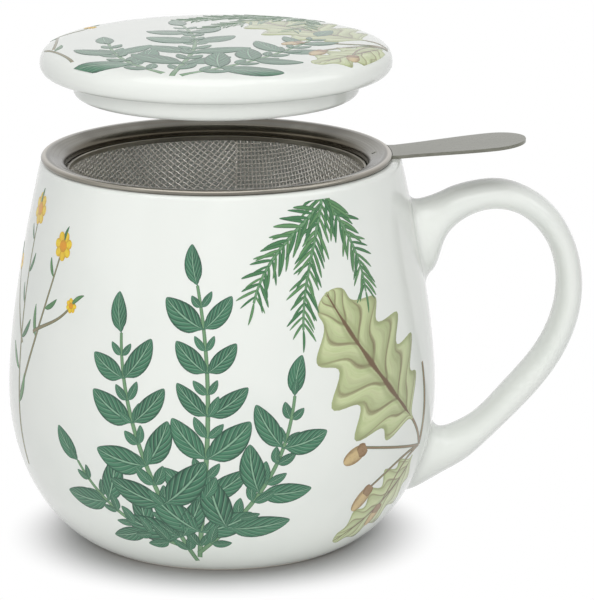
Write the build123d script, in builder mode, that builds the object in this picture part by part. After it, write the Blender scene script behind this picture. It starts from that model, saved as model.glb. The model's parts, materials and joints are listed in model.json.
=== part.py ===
from build123d import *
import math
import os

# A porcelain tea mug with a steel mesh infuser and a lift-off porcelain lid.
# Millimetres. Origin at the centre of the foot, +Z up, the handle towards +X.

# --- mug body ---
mug_height = 92.5
belly_radius = 50.9         # widest outside radius
belly_height = 37.0         # height of the widest place above the foot plane
base_roundness = 28.5       # how far in the curve below the belly turns towards the foot
base_tuck = 1.5             # the curve would end this far below the foot plane
belly_fullness = 14.0       # height over which the wall stays upright above the belly
rim_radius = 42.5           # outside radius at the top
rim_flare_in = 4.6          # the shoulder's guide point, outside the rim
rim_flare_down = 20.0       # and below it
wall = 3.7                  # at the belly
rim_wall = 3.7
rim_fillet = 1.4
floor_thickness = 3.9       # from the foot recess to the inside
foot_width = 3.6
foot_recess = 1.6
foot_fillet = 0.7

# --- mug handle ---
handle_root_drop = 21.9     # brim down to the upper root's centre
handle_crown_drop = 10.35   # brim down to the centreline's highest place
handle_waist_drop = 32.8    # brim down to the place that reaches furthest out
handle_root_low = 18.9      # height of the lower root's centre
handle_reach = 83.4         # centreline's greatest distance from the mug's axis
handle_root_depth = 3.4     # how far the untrimmed root goes into the wall
grip_thickness = 6.1        # across the strap, in the plane of the loop
grip_width = 12.5
root_top_spread = 18.6      # height of the upper root where it meets the wall
root_low_spread = 20.4
root_width = 15.5

# --- infuser ---
sheet = 0.4                 # gauge of the stamped rim
tab_thickness = 0.8
flange_setback = 1.0        # flange inside the mug's outer rim
hem_width = 1.9
infuser_play = 3.2          # collar to the mug's mouth, all round, where the infuser is centred
infuser_shift = -1.0        # it lies loose, this far off the mug's axis, away from the handle
flange_dish = 20.0          # degrees; inside its hem the flange falls to the collar
collar_depth = 4.7          # flange top to the collar's foot
shoulder_fillet = 0.9
hoop_gauge = 0.5
hoop_height = 1.15
cloth = 0.3                 # thickness of the woven cloth
basket_depth = 44.0         # below the collar
basket_side = 23.0          # guide heights of the bowl's curve
basket_floor = 24.0         # guide radius of the bowl's floor
tab_root = 4.9              # length of the tab under the flange
tab_reach = 32.0            # from the flange's edge to the tip
tab_root_width = 12.0
tab_tip_width = 16.6
tab_rise = 4.8              # degrees
tab_bend = 6.0
tab_fit = 0.15              # tab to the sides of the gap in the hem
weld_radius = 0.6
weld_stand = 0.1
weld_inset = 0.8            # from the tab's inner end

# --- lid ---
lid_radius = 41.4
lid_lift = 19.1             # the lid is drawn this far above its seat
seat_gap = 0.1
lid_crown = 5.0             # top above the widest plane
lid_dome = 0.9              # rise of the top towards its centre
lid_shoulder = 7.0          # width of the rounded edge
lid_under = 3.2             # underside below the widest plane
lid_ring_clearance = 0.35   # locating ring to the hoop
lid_ring_height = 5.5
lid_ring_taper = 1.9
lid_ring_wall = 4.2
lid_plate = 5.2             # thickness of the top inside the ring
lid_ring_fillet = 0.9
lid_ring_cove = 2.0         # hollow fillet from the underside to the ring

# --- places that follow from the sizes ---
mouth_radius = rim_radius - rim_wall
handle_root_top = mug_height - handle_root_drop
handle_crown = mug_height - handle_crown_drop
handle_waist = mug_height - handle_waist_drop
tuck_angle = math.degrees(math.asin(-belly_height / (belly_height + base_tuck)))
foot_radius = belly_radius - base_roundness * (1 - math.cos(math.radians(tuck_angle)))
flange_radius = rim_radius - flange_setback
flange_top = mug_height + tab_thickness + sheet
collar_radius = mouth_radius - infuser_play
collar_bore = collar_radius - sheet
collar_foot = flange_top - collar_depth
dish = math.radians(flange_dish)
dish_edge = flange_radius - hem_width - sheet * math.tan(dish / 2)
dish_foot = flange_top - (dish_edge - collar_bore) * math.tan(dish)
dish_foot_under = dish_foot + sheet * math.tan(dish) - sheet / math.cos(dish)
cloth_bore = collar_bore - cloth
hoop_bore = cloth_bore - hoop_gauge
lid_ring_radius = hoop_bore - lid_ring_clearance
lid_touch = (dish_edge - lid_radius + lid_under) / lid_under   # where the edge's curve meets the flange
lid_seat = lid_under * math.sqrt(1 - lid_touch**2)
lid_plane = flange_top + lid_seat + seat_gap + lid_lift
infuser_side = Plane(origin=(infuser_shift, 0, 0), x_dir=(1, 0, 0), z_dir=(0, -1, 0))
infuser_axis = Axis((infuser_shift, 0, 0), (0, 0, 1))
os.makedirs("parts", exist_ok=True)


def bezier(points, t):
    """A point of the cubic with these four guide points."""
    a, b, c, d = points
    s = 1 - t
    return tuple(s**3 * a[k] + 3 * s * s * t * b[k] + 3 * s * t * t * c[k] + t**3 * d[k]
                 for k in range(2))


def shoulder(thickness, edge):
    """Guide points of the wall above the belly, this far in from the outside at its two ends."""
    return ((belly_radius - thickness, belly_height),
            (belly_radius - thickness, belly_height + belly_fullness),
            (rim_radius - edge + rim_flare_in, mug_height - rim_flare_down),
            (rim_radius - edge, mug_height))


def outer_radius(z):
    """The body's outside radius at a height."""
    if z <= belly_height:
        rise = (z - belly_height) / (belly_height + base_tuck)
        return belly_radius - base_roundness * (1 - math.sqrt(1 - rise * rise))
    low, high = 0.0, 1.0
    for _ in range(40):
        mid = (low + high) / 2
        low, high = (mid, high) if bezier(shoulder(0, 0), mid)[1] < z else (low, mid)
    return bezier(shoulder(0, 0), low)[0]


# --- mug body: one turned profile ---
base_centre = (belly_radius - base_roundness, belly_height)
inner_floor = foot_recess + floor_thickness
with BuildPart() as mug_body:
    with BuildSketch(Plane.XZ) as profile:
        with BuildLine():
            low = EllipticalCenterArc(base_centre, base_roundness, belly_height + base_tuck,
                                      start_angle=tuck_angle, arc_size=-tuck_angle)
            Bezier(*shoulder(0, 0))
            Line((rim_radius, mug_height), (mouth_radius, mug_height))
            Bezier(*shoulder(wall, rim_wall))
            EllipticalCenterArc(base_centre, base_roundness - wall, belly_height - inner_floor,
                                start_angle=-90, arc_size=90)
            Polyline((base_centre[0], inner_floor), (0, inner_floor), (0, foot_recess),
                     (foot_radius - foot_width - foot_recess / 2, foot_recess),
                     (foot_radius - foot_width, 0), low @ 0)
        make_face()
        rim_corners = profile.vertices().group_by(Axis.Y)[-1]
        fillet(rim_corners, rim_fillet)
        fillet(profile.vertices().group_by(Axis.Y)[0], foot_fillet)
    revolve(axis=Axis.Z)
mug_body.part.label = "mug_body"

# --- mug handle: oval sections along a curved centreline, trimmed to the wall ---
top_x, low_x = outer_radius(handle_root_top), outer_radius(handle_root_low)
reach_top, reach_low = handle_reach - top_x, handle_reach - low_x
climb, drop = handle_crown - handle_root_top, handle_waist - handle_root_low
with BuildLine() as centreline:
    Spline(
        (top_x - handle_root_depth, 0, handle_root_top),
        (top_x + 0.080 * reach_top, 0, handle_root_top + 0.27 * climb),
        (top_x + 0.138 * reach_top, 0, handle_root_top + 0.51 * climb),
        (top_x + 0.308 * reach_top, 0, handle_root_top + 0.89 * climb),
        (top_x + 0.549 * reach_top, 0, handle_crown),
        (top_x + 0.805 * reach_top, 0, handle_crown - 0.207 * (handle_crown - handle_waist)),
        (handle_reach, 0, handle_waist),
        (low_x + 0.875 * reach_low, 0, handle_root_low + 0.613 * drop),
        (low_x + 0.577 * reach_low, 0, handle_root_low + 0.293 * drop),
        (low_x + 0.263 * reach_low, 0, handle_root_low + 0.056 * drop),
        (low_x + 0.083 * reach_low, 0, handle_root_low),
        (low_x - handle_root_depth, 0, handle_root_low),
    )
path = centreline.line
# each section: place along the centreline, how much of the root's spread it has over the grip's
# thickness, and the way it faces in degrees above +X; the root sections stand square to the wall
stations = ((0.0, 1.0, 8), (0.040, 0.955, 11), (0.063, 0.765, 9), (0.092, 0.46, 5), (0.121, 0.31, -2),
            (0.157, 0.17, -5), (0.232, 0.07, -12), (0.275, 0.04, -23), (0.321, 0.03, -43),
            (0.383, 0.0, -62), (0.486, 0.01, -94), (0.625, 0.035, -128), (0.767, 0.07, -152),
            (0.845, 0.10, -161), (0.892, 0.23, -172), (0.927, 0.34, -179), (0.951, 0.57, -187),
            (0.973, 0.82, -191), (1.0, 1.0, -196))
with BuildPart() as mug_handle:
    for place, flare, facing in stations:
        spread = root_top_spread if place < 0.5 else root_low_spread
        across = grip_thickness + flare * (spread - grip_thickness)
        wide = grip_width + flare * (root_width - grip_width)
        way = (math.cos(math.radians(facing)), 0, math.sin(math.radians(facing)))
        with BuildSketch(Plane(origin=path @ place, x_dir=(0, 1, 0), z_dir=way)):
            Circle(1)
            scale(by=(wide / 2, across / 2, 1))
    loft()
    with BuildSketch(Plane.XZ):
        with BuildLine():
            trim = EllipticalCenterArc(base_centre, base_roundness, belly_height + base_tuck,
                                       start_angle=tuck_angle, arc_size=-tuck_angle)
            Bezier(*shoulder(0, 0))
            Polyline((rim_radius, mug_height), (0, mug_height), (0, 0), trim @ 0)
        make_face()
    revolve(axis=Axis.Z, mode=Mode.SUBTRACT)
mug_handle.part.label = "mug_handle"

# --- infuser: the stamped rim, its hem open where the tab passes ---
sheet_under = flange_top - sheet
with BuildPart() as hem_gap:
    with BuildSketch(infuser_side):
        with Locations((flange_radius - hem_width, mug_height)):
            Rectangle(2 * hem_width, tab_thickness, align=(Align.MIN, Align.MIN))
    revolve(axis=infuser_axis)
    with Locations((infuser_shift + flange_radius - tab_root, 0, mug_height)):
        Box(2 * tab_root, tab_root_width + 2 * tab_fit, tab_thickness,
            align=(Align.MIN, Align.CENTER, Align.MIN), mode=Mode.INTERSECT)
with BuildPart() as infuser_rim:
    with BuildSketch(infuser_side) as stamping:
        with BuildLine():
            Polyline((flange_radius, mug_height), (flange_radius, flange_top),
                     (dish_edge, flange_top), (collar_bore, dish_foot),
                     (collar_bore, collar_foot), (collar_radius, collar_foot),
                     (collar_radius, dish_foot_under),
                     (flange_radius - hem_width, sheet_under),
                     (flange_radius - hem_width, mug_height), close=True)
        make_face()
        edge = stamping.vertices().group_by(Axis.X)[-1]
        fillet(edge, 0.42 * (sheet + tab_thickness))
        fillet(stamping.vertices().sort_by_distance((collar_bore, dish_foot))[0], shoulder_fillet)
        fillet(stamping.vertices().sort_by_distance((collar_radius, dish_foot_under))[0],
               shoulder_fillet - sheet)
    revolve(axis=infuser_axis)
    add(hem_gap.part, mode=Mode.SUBTRACT)
infuser_rim.part.label = "infuser_rim"

with BuildPart() as mesh_retaining_hoop:
    with BuildSketch(infuser_side):
        with Locations((hoop_bore, collar_foot)):
            Rectangle(hoop_gauge, hoop_height, align=(Align.MIN, Align.MIN))
    revolve(axis=infuser_axis)
mesh_retaining_hoop.part.label = "mesh_retaining_hoop"

# --- infuser: the cloth, pressed to a bowl with its edge between collar and hoop ---


def bowl(growth):
    """Guide points of the bowl's curve, grown outwards."""
    low = collar_foot - basket_depth - growth
    return ((cloth_bore + growth, collar_foot), (cloth_bore + growth, collar_foot - basket_side),
            (basket_floor + growth, low), (0, low))


with BuildPart() as mesh_basket:
    with BuildSketch(infuser_side):
        with BuildLine():
            inside = Bezier(*bowl(0))
            outside = Bezier(*bowl(cloth))
            Line(inside @ 1, outside @ 1)
            Polyline(inside @ 0, (cloth_bore, collar_foot + hoop_height),
                     (collar_bore, collar_foot + hoop_height), outside @ 0)
        make_face()
    revolve(axis=infuser_axis)
mesh_basket.part.label = "mesh_basket"

# --- infuser: the lifting tab, bent to lie under the flange, and bent up again beyond it ---
tab_start = flange_radius - tab_root
tab_crease = flange_radius - hem_width + tab_thickness * math.tan(dish / 2)
tab_tip = flange_radius + tab_reach
slope = math.radians(tab_rise)
bend_run = tab_bend * math.sin(slope)
bend_lift = tab_bend * (1 - math.cos(slope))
straight = tab_tip - flange_radius - 1.0 - bend_run
with BuildPart() as infuser_handle:
    with BuildSketch(infuser_side):
        with BuildLine() as side:
            Polyline((tab_start, mug_height - (tab_crease - tab_start) * math.tan(dish)),
                     (tab_crease, mug_height), (flange_radius + 1.0, mug_height))
            RadiusArc((flange_radius + 1.0, mug_height),
                      (flange_radius + 1.0 + bend_run, mug_height + bend_lift), -tab_bend)
            Line((flange_radius + 1.0 + bend_run, mug_height + bend_lift),
                 (tab_tip, mug_height + bend_lift + straight * math.tan(slope)))
            offset(amount=tab_thickness, side=Side.LEFT)
        make_face()
    extrude(amount=tab_tip_width, both=True)
    with BuildSketch(Plane((infuser_shift, 0, mug_height - tab_root))) as outline:
        with BuildLine():
            neck, broad = tab_root_width / 2, tab_tip_width / 2
            tip_centre = tab_tip - broad
            upper = Spline((flange_radius, neck), (tip_centre, broad), tangents=((1, 0.0), (1, 0)))
            lower = Spline((flange_radius, -neck), (tip_centre, -broad), tangents=((1, 0.0), (1, 0)))
            ThreePointArc(upper @ 1, (tab_tip, 0), lower @ 1)
            Polyline(upper @ 0, (tab_start, neck), (tab_start, -neck), lower @ 0)
        make_face()
    extrude(amount=tab_reach, mode=Mode.INTERSECT)
infuser_handle.part.label = "infuser_handle"

# --- infuser: the weld nugget that holds the tab, through the flange ---
weld_place = tab_start + weld_inset
weld_foot = sheet_under - (flange_radius - hem_width - weld_place) * math.tan(dish)
weld_plane = Plane(origin=(infuser_shift + weld_place, 0, weld_foot),
                   x_dir=(math.cos(dish), 0, math.sin(dish)),
                   z_dir=(-math.sin(dish), 0, math.cos(dish)))
with BuildPart() as infuser_spot_weld:
    with BuildSketch(weld_plane):
        Circle(weld_radius)
    extrude(amount=sheet + weld_stand)
    rim_edge = infuser_spot_weld.edges().sort_by(Axis(weld_plane.origin, weld_plane.z_dir))[-1]
    fillet(rim_edge, 0.8 * weld_stand)
infuser_spot_weld.part.label = "infuser_spot_weld"
with BuildPart() as pierced:
    add(infuser_rim.part)
    add(infuser_spot_weld.part, mode=Mode.SUBTRACT)
infuser_rim = pierced
infuser_rim.part.label = "infuser_rim"

# --- lid: one turned profile, domed on top, hollow under, with a tapered locating ring ---
under = lid_plane - lid_under
top = lid_plane + lid_crown
ring_foot = under - lid_ring_height
ring_bore = lid_ring_radius - lid_ring_taper - lid_ring_wall
with BuildPart() as lid:
    with BuildSketch(infuser_side) as section:
        with BuildLine():
            edge_in = lid_radius - lid_shoulder
            crown = Spline((0, top), (edge_in, top - lid_dome), (lid_radius, lid_plane),
                           tangents=((1, 0), (0, -1)))
            EllipticalCenterArc((lid_radius - lid_under, lid_plane), lid_under, lid_under,
                                start_angle=0, arc_size=-90)
            Polyline((lid_radius - lid_under, under), (lid_ring_radius, under),
                     (lid_ring_radius - lid_ring_taper, ring_foot), (ring_bore, ring_foot),
                     (ring_bore + lid_ring_taper / 2, top - lid_plate),
                     (0, top - lid_plate), (0, top))
        make_face()
        fillet(section.vertices().group_by(Axis.Y)[0], lid_ring_fillet)
        fillet(section.vertices().sort_by_distance((ring_bore + lid_ring_taper / 2,
                                                    top - lid_plate))[0], 1.2)
        fillet(section.vertices().sort_by_distance((lid_ring_radius, under))[0], lid_ring_cove)
    revolve(axis=infuser_axis)
lid.part.label = "lid"

for piece in (mug_body, mug_handle, infuser_rim, mesh_retaining_hoop, mesh_basket, infuser_handle,
              infuser_spot_weld, lid):
    export_step(piece.part, "parts/" + piece.part.label + ".step")
    print(piece.part.label, len(piece.part.solids()), round(piece.part.volume), piece.part.is_valid)
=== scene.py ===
import json
import math

import bmesh
import bpy
import numpy as np
from bpy.props import FloatProperty, FloatVectorProperty, PointerProperty
from mathutils import Matrix, Vector

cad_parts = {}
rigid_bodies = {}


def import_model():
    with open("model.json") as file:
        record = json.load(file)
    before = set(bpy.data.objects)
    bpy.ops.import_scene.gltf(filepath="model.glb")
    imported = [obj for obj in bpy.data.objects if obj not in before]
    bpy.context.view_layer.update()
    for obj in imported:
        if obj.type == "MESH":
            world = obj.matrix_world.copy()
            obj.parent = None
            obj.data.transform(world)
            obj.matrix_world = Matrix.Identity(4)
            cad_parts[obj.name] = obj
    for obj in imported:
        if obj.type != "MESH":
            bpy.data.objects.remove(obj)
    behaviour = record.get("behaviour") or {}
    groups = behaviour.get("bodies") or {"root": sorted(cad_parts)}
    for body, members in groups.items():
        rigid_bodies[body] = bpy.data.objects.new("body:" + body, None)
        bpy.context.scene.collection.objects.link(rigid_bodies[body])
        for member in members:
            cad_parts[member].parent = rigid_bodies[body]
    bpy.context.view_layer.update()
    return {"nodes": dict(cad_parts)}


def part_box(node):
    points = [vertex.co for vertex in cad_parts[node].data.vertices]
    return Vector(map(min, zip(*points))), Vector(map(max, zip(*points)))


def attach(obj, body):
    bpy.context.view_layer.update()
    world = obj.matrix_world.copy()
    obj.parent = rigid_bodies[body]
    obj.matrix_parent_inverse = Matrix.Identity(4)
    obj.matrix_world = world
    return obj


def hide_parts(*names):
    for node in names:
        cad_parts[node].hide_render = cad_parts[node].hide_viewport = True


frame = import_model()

bl_info = {
    "name": "Lidded Tea Mug",
    "version": (1, 0, 0),
    "blender": (4, 5, 0),
    "location": "View3D > Sidebar > Tea Mug",
    "description": "Porcelain mug with handle and lid, a steel infuser of woven cloth, and a printed herbal",
    "category": "Add Mesh",
}

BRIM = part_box("mug_body")[1].z
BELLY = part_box("mug_body")[1].x


# ---------------------------------------------------------------- sizes and colours


def length(name, value, about):
    """A size in metres."""
    return FloatProperty(name=name, description=about, default=value, min=0.0, precision=5, unit="LENGTH")


def power(name, value, about):
    """A lamp's power in watts."""
    return FloatProperty(name=name, description=about, default=value, min=0.0, unit="POWER")


def angle(name, degrees, about):
    """An angle, given in degrees."""
    return FloatProperty(name=name, description=about, default=math.radians(degrees), subtype="ANGLE")


def colour(name, value, about):
    """A linear colour."""
    return FloatVectorProperty(name=name, description=about, default=value, size=3, min=0.0, max=1.0,
                               subtype="COLOR")


class PorcelainSizes(bpy.types.PropertyGroup):
    """Sizes of the cast mug and its handle, and the colours of the porcelain."""

    height: length("Height", BRIM, "Foot plane to brim")
    belly: length("Belly Radius", BELLY, "Widest outside radius")
    belly_height: length("Belly Height", 0.037, "Foot plane to the widest place")
    roundness: length("Base Roundness", 0.0285, "How far in the base curves")
    tuck: length("Base Tuck", 0.0015, "How far below the foot plane that curve would end")
    fullness: length("Fullness", 0.014, "Upright stretch above the belly")
    rim: length("Rim Radius", 0.0425, "Outside radius at the brim")
    flare_in: length("Shoulder Guide In", 0.0046, "Shoulder guide point outside the rim")
    flare_down: length("Shoulder Guide Down", 0.020, "Shoulder guide point below the brim")
    wall: length("Wall", 0.0037, "Wall thickness")
    inner_floor: length("Inner Floor", 0.0055, "Height of the inside floor")
    foot_width: length("Foot Width", 0.0036, "Width of the unglazed foot ring")
    recess: length("Foot Recess", 0.0016, "Depth of the recess in the foot")
    brim_round: length("Brim Rounding", 0.0014, "Rounding of the brim's edges")
    foot_round: length("Foot Rounding", 0.0007, "Rounding of the foot ring's inner edge")
    glaze_line: length("Glaze Line", 0.0011, "Height of the glaze's lower edge")
    reach: length("Handle Reach", 0.0834, "Mug's axis to the furthest place of the handle's centreline")
    crown: length("Handle Crown", 0.01035, "Brim down to the centreline's highest place")
    waist: length("Handle Waist", 0.0328, "Brim down to the centreline's furthest place")
    top_root: length("Upper Root", 0.0219, "Brim down to the middle of the upper root")
    low_root: length("Lower Root", 0.0189, "Foot plane up to the middle of the lower root")
    top_spread: length("Upper Spread", 0.0186, "Height of the upper root")
    low_spread: length("Lower Spread", 0.0204, "Height of the lower root")
    root_width: length("Root Width", 0.0155, "Width of both roots")
    grip_thickness: length("Grip Thickness", 0.0061, "Handle strap, in the plane of its loop")
    grip_width: length("Grip Width", 0.0125, "Handle strap, across its loop")
    root_run: length("Root Fillet", 0.0026, "Reach of the fillet where the handle meets the wall")
    glaze: colour("Glaze", (0.825, 0.85, 0.81), "White body under clear glaze")
    pooled: colour("Pooled Glaze", (0.70, 0.745, 0.71), "Tint where the glaze lies thick")
    biscuit: colour("Biscuit", (0.70, 0.67, 0.60), "Unglazed foot ring")


class LidSizes(bpy.types.PropertyGroup):
    """Sizes of the lid and its hollow locating ring."""

    edge: length("Edge Radius", 0.0414, "Radius at the widest place")
    crown: length("Crown", 0.0053, "Top above the widest place")
    dome: length("Dome", 0.0009, "Rise of the top towards its centre")
    shoulder: length("Shoulder", 0.0070, "Width of the rounded edge")
    under: length("Under", 0.0023, "Underside below the widest place")
    ring: length("Ring Radius", 0.03445, "Locating ring where it leaves the underside")
    ring_height: length("Ring Height", 0.0052, "How far the ring reaches down")
    ring_taper: length("Ring Taper", 0.0010, "How far the ring draws in")
    ring_wall: length("Ring Wall", 0.0042, "Width of the ring's foot")
    plate: length("Plate", 0.0052, "Thickness inside the ring")
    cove: length("Cove", 0.0020, "Rounding where the ring leaves the underside")
    ring_round: length("Ring Rounding", 0.0016, "Rounding of the ring's foot")
    hollow_round: length("Hollow Rounding", 0.0012, "Rounding in the corner of the hollow")


class InfuserSizes(bpy.types.PropertyGroup):
    """Sizes of the infuser's spun rim, hoop, tab and woven cloth."""

    shift: FloatProperty(name="Off Axis", description="Infuser and lid from the mug's axis, the handle's way",
                         default=-0.001, precision=5, unit="LENGTH")
    flange: length("Flange Radius", 0.0415, "Outer edge of the flange")
    collar: length("Collar Radius", 0.0360, "Outside of the upright collar")
    sheet: length("Sheet", 0.0004, "Gauge of the spun rim")
    tab: length("Tab Gauge", 0.0008, "Gauge of the lifting tab")
    hem: length("Hem", 0.0019, "Width of the folded hem")
    hem_gap: length("Hem Gap", 0.00615, "Half the gap in the hem that the tab passes")
    hem_round: length("Hem Rounding", 0.0009, "Rounding of the hem's upper outer edge")
    lip_round: length("Lip Rounding", 0.0005, "Rounding of the hem's lower outer edge")
    dish_round: length("Dish Rounding", 0.0012, "Rounding between the hem and the dish")
    dish: angle("Dish", 20, "Fall of the flange inside its hem")
    collar_depth: length("Collar Depth", 0.0047, "Flange top to the collar's foot")
    fold: length("Fold", 0.0020, "Rounding between the dish and the collar")
    hoop: length("Hoop Gauge", 0.0005, "Thickness of the hoop that clamps the cloth")
    hoop_height: length("Hoop Height", 0.00115, "Height of that hoop")
    hoop_round: length("Hoop Rounding", 0.00015, "Rounding of the hoop's inner edges")
    gauge: length("Cloth Gauge", 0.0003, "Room for the cloth between the collar and the hoop")
    tuck: length("Cloth Tuck", 0.0009, "How far the cloth goes up behind the hoop")
    pitch: length("Mesh Pitch", 0.00088, "Distance between neighbouring wires")
    stretch: FloatProperty(name="Stretch", description="Cloth drawn down the bowl's side", default=1.15,
                           min=1.0)
    pleat: length("Pleat", 0.0004, "Depth of the pleats where the pressed cloth had nowhere to go")
    pleat_width: length("Pleat Width", 0.0011, "Width of those pleats")
    wire: length("Wire", 0.00043, "Wire diameter")
    depth: length("Bowl Depth", 0.044, "Collar foot to the bowl's lowest point")
    side: length("Side Guide", 0.023, "Guide length of the bowl's side")
    pole: length("Floor Guide", 0.024, "Guide radius of the bowl's floor")
    steel: colour("Spun Steel", (0.18, 0.175, 0.15), "Rim and hoop")
    # painted highlight: the hem is given this brighter colour, strongest on its rounded top
    hem_steel: colour("Hem Steel", (0.43, 0.40, 0.35), "Hem, where handling has polished it")
    strip: colour("Strip Steel", (0.225, 0.225, 0.19), "Lifting tab")
    cloth: colour("Wire Steel", (0.94, 0.91, 0.85), "Woven cloth")


class StageSettings(bpy.types.PropertyGroup):
    """Backdrop, lamps and viewpoint."""

    floor: colour("Floor", (0.90, 0.90, 0.90), "Colour of the table")
    key: power("Key", 4.0, "Power of the overhead soft light")
    front: power("Front", 11.2, "Power of the soft light behind the viewer")
    left: power("Left", 0.8, "Power of the soft light on the left")
    right: power("Right", 1.6, "Power of the soft light on the right")
    sky: FloatProperty(name="Sky", description="Strength of the surrounding light", default=0.22, min=0.0)
    distance: length("Distance", 1.0, "Camera to the middle of the mug")
    elevation: angle("Elevation", 14.81, "Camera above the horizon")
    around: angle("Around", 4.0, "Camera about the mug, from straight ahead")
    roll: angle("Roll", -0.327, "Camera about its own axis")


# ---------------------------------------------------------------- shader expressions


def new_node(tree, kind, settings, values, named, feed):
    """A node with its settings made first, then the values or links of its sockets."""
    made = tree.nodes.new(kind)
    for key, value in (settings or {}).items():
        setattr(made, key, value)
    for key, value in [*enumerate(values), *((k.replace("_", " "), v) for k, v in named.items())]:
        if value is not None:
            feed(made.inputs[key], value)
    return made


class Socket:
    """A shader output that takes part in arithmetic."""

    def __init__(self, finish, output):
        self.finish, self.output = finish, output

    def math(self, operation, *others):
        return self.finish.node("ShaderNodeMath", {"operation": operation}, self, *others)

    def __rsub__(self, other):
        return self.finish.node("ShaderNodeMath", {"operation": "SUBTRACT"}, other, self)

    def __abs__(self):
        return self.math("ABSOLUTE")

    __add__ = __radd__ = lambda self, other: self.math("ADD", other)
    __mul__ = __rmul__ = lambda self, other: self.math("MULTIPLY", other)
    __sub__ = lambda self, other: self.math("SUBTRACT", other)
    __truediv__ = lambda self, other: self.math("DIVIDE", other)
    __pow__ = lambda self, other: self.math("POWER", other)

    def step(self, low, high):
        """A soft 0 to 1 step between two values."""
        soft = {"interpolation_type": "SMOOTHSTEP"}
        return self.finish.node("ShaderNodeMapRange", soft, self, low, high, 0.0, 1.0)

    def part(self):
        """Its three components."""
        split = self.finish.node("ShaderNodeSeparateXYZ", {}, self).output.node
        return [Socket(self.finish, o) for o in split.outputs]


class Finish:
    """A material, or a world, that is written as expressions."""

    def __init__(self, name, among=None):
        self.material = (bpy.data.materials if among is None else among).new(name)
        self.material.use_nodes = True
        self.tree = self.material.node_tree

    def node(self, kind, settings, *values, out=0, **named):
        return Socket(self, new_node(self.tree, kind, settings, values, named, self.feed).outputs[out])

    def feed(self, socket, value):
        """Links the socket to another, or gives it a value."""
        if isinstance(value, Socket):
            self.tree.links.new(value.output, socket)
        elif isinstance(value, (tuple, list)) and len(value) == 3 and socket.type == "RGBA":
            socket.default_value = (*value, 1.0)
        else:
            socket.default_value = value

    def place(self, scale=(1, 1, 1), shift=(0, 0, 0)):
        """Object coordinates, scaled and moved."""
        spot = self.node("ShaderNodeTexCoord", {}, out="Object")
        return self.node("ShaderNodeMapping", {}, spot, shift, (0, 0, 0), scale)

    def noise(self, vector, scale, detail=2.0, rough=0.5):
        return self.node("ShaderNodeTexNoise", {}, Vector=vector, Scale=scale, Detail=detail, Roughness=rough)

    def mix(self, share, first, second):
        made = self.tree.nodes.new("ShaderNodeMix")
        made.data_type = "RGBA"
        for index, value in ((0, share), (6, first), (7, second)):
            self.feed(made.inputs[index], value)
        return Socket(self, made.outputs[2])

    def seen(self):
        """1 for rays from the camera, a mirror or glass, 0 for the rays that light things."""
        path = self.node("ShaderNodeLightPath", {}).output.node.outputs
        seen = (Socket(self, path[f"Is {kind} Ray"]) for kind in ("Camera", "Glossy", "Transmission"))
        return sum(seen, 0.0).step(0.0, 1.0)

    def bump(self, height, strength, distance):
        return self.node("ShaderNodeBump", {}, Height=height, Strength=strength, Distance=distance)

    def set(self, **sockets):
        """The material, with these values or links on its Principled shader."""
        for key, value in sockets.items():
            self.feed(self.tree.nodes["Principled BSDF"].inputs[key.replace("_", " ")], value)
        return self.material

    def end(self, shader):
        """The material or world, with this shader in place of the one that it came with."""
        last = next(node for node in self.tree.nodes if node.type.startswith("OUTPUT"))
        self.tree.nodes.remove(last.inputs["Surface"].links[0].from_node)
        self.tree.links.new(shader.output, last.inputs["Surface"])
        return self.material


# ---------------------------------------------------------------- mesh helpers


def line(start, end, count):
    """Points along a straight line."""
    return np.linspace(start, end, count)


def cubic(guides, count):
    """Points along the cubic curve with these four guide points."""
    t = np.linspace(0, 1, count)[:, None]
    a, b, c, d = (np.asarray(g, float) for g in guides)
    return (1 - t) ** 3 * a + 3 * (1 - t) ** 2 * t * b + 3 * (1 - t) * t * t * c + t ** 3 * d


def oval(centre, across, up, start, end, count):
    """Points along an elliptical arc, angles in degrees."""
    t = np.radians(np.linspace(start, end, count))
    return np.stack([centre[0] + across * np.cos(t), centre[1] + up * np.sin(t)], -1)


def joined(*runs):
    """The runs as one line, without the points that two of them share."""
    points = [np.atleast_2d(np.asarray(runs[0], float))]
    for run in runs[1:]:
        run = np.atleast_2d(np.asarray(run, float))
        points.append(run[1:] if np.allclose(points[-1][-1], run[0], atol=1e-7) else run)
    return np.concatenate(points)


def eased(profile, corner, radius, steps=9):
    """The profile with the corner nearest to this place rounded."""
    profile = np.asarray(profile, float)
    i = int(np.argmin(np.linalg.norm(profile - np.asarray(corner), axis=1)))

    def walk(points):
        run, last = 0.0, points[0]
        for k, here in enumerate(points[1:], 1):
            gap = np.linalg.norm(here - last)
            if run + gap >= trim:
                return last + (here - last) * (trim - run) / gap, k
            run, last = run + gap, here
        return last, len(points) - 1

    before, after = profile[i] - profile[i - 1], profile[(i + 1) % len(profile)] - profile[i]
    half = 0.5 * math.acos(np.clip(before.dot(after) / np.linalg.norm(before) / np.linalg.norm(after), -1, 1))
    trim, pull = radius * math.tan(half), math.cos(half)
    profile = np.roll(profile, len(profile) // 2 - i, axis=0)
    shift, i = len(profile) // 2 - i, len(profile) // 2
    before, j = walk(profile[i::-1])
    after, k = walk(profile[i:])
    t = np.linspace(0, 1, steps)[:, None]
    weight = (1 - t) ** 2, 2 * (1 - t) * t * pull, t * t
    bend = (weight[0] * before + weight[1] * profile[i] + weight[2] * after) / sum(weight)
    return np.roll(np.concatenate([profile[: i - j + 1], bend, profile[i + k:]]), -shift, axis=0)


def carry(mesh, name, values):
    """Stores a number or a vector for each point of the mesh."""
    values = np.asarray(values, np.float32)
    kind, field = ("FLOAT", "value") if values.ndim == 1 else ("FLOAT_VECTOR", "vector")
    mesh.attributes.new(name, kind, "POINT").data.foreach_set(field, values.ravel())


def rotated(flat, turn):
    """Flat points turned about their origin."""
    c, s = math.cos(turn), math.sin(turn)
    return flat @ np.array([[c, s], [-s, c]])


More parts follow.
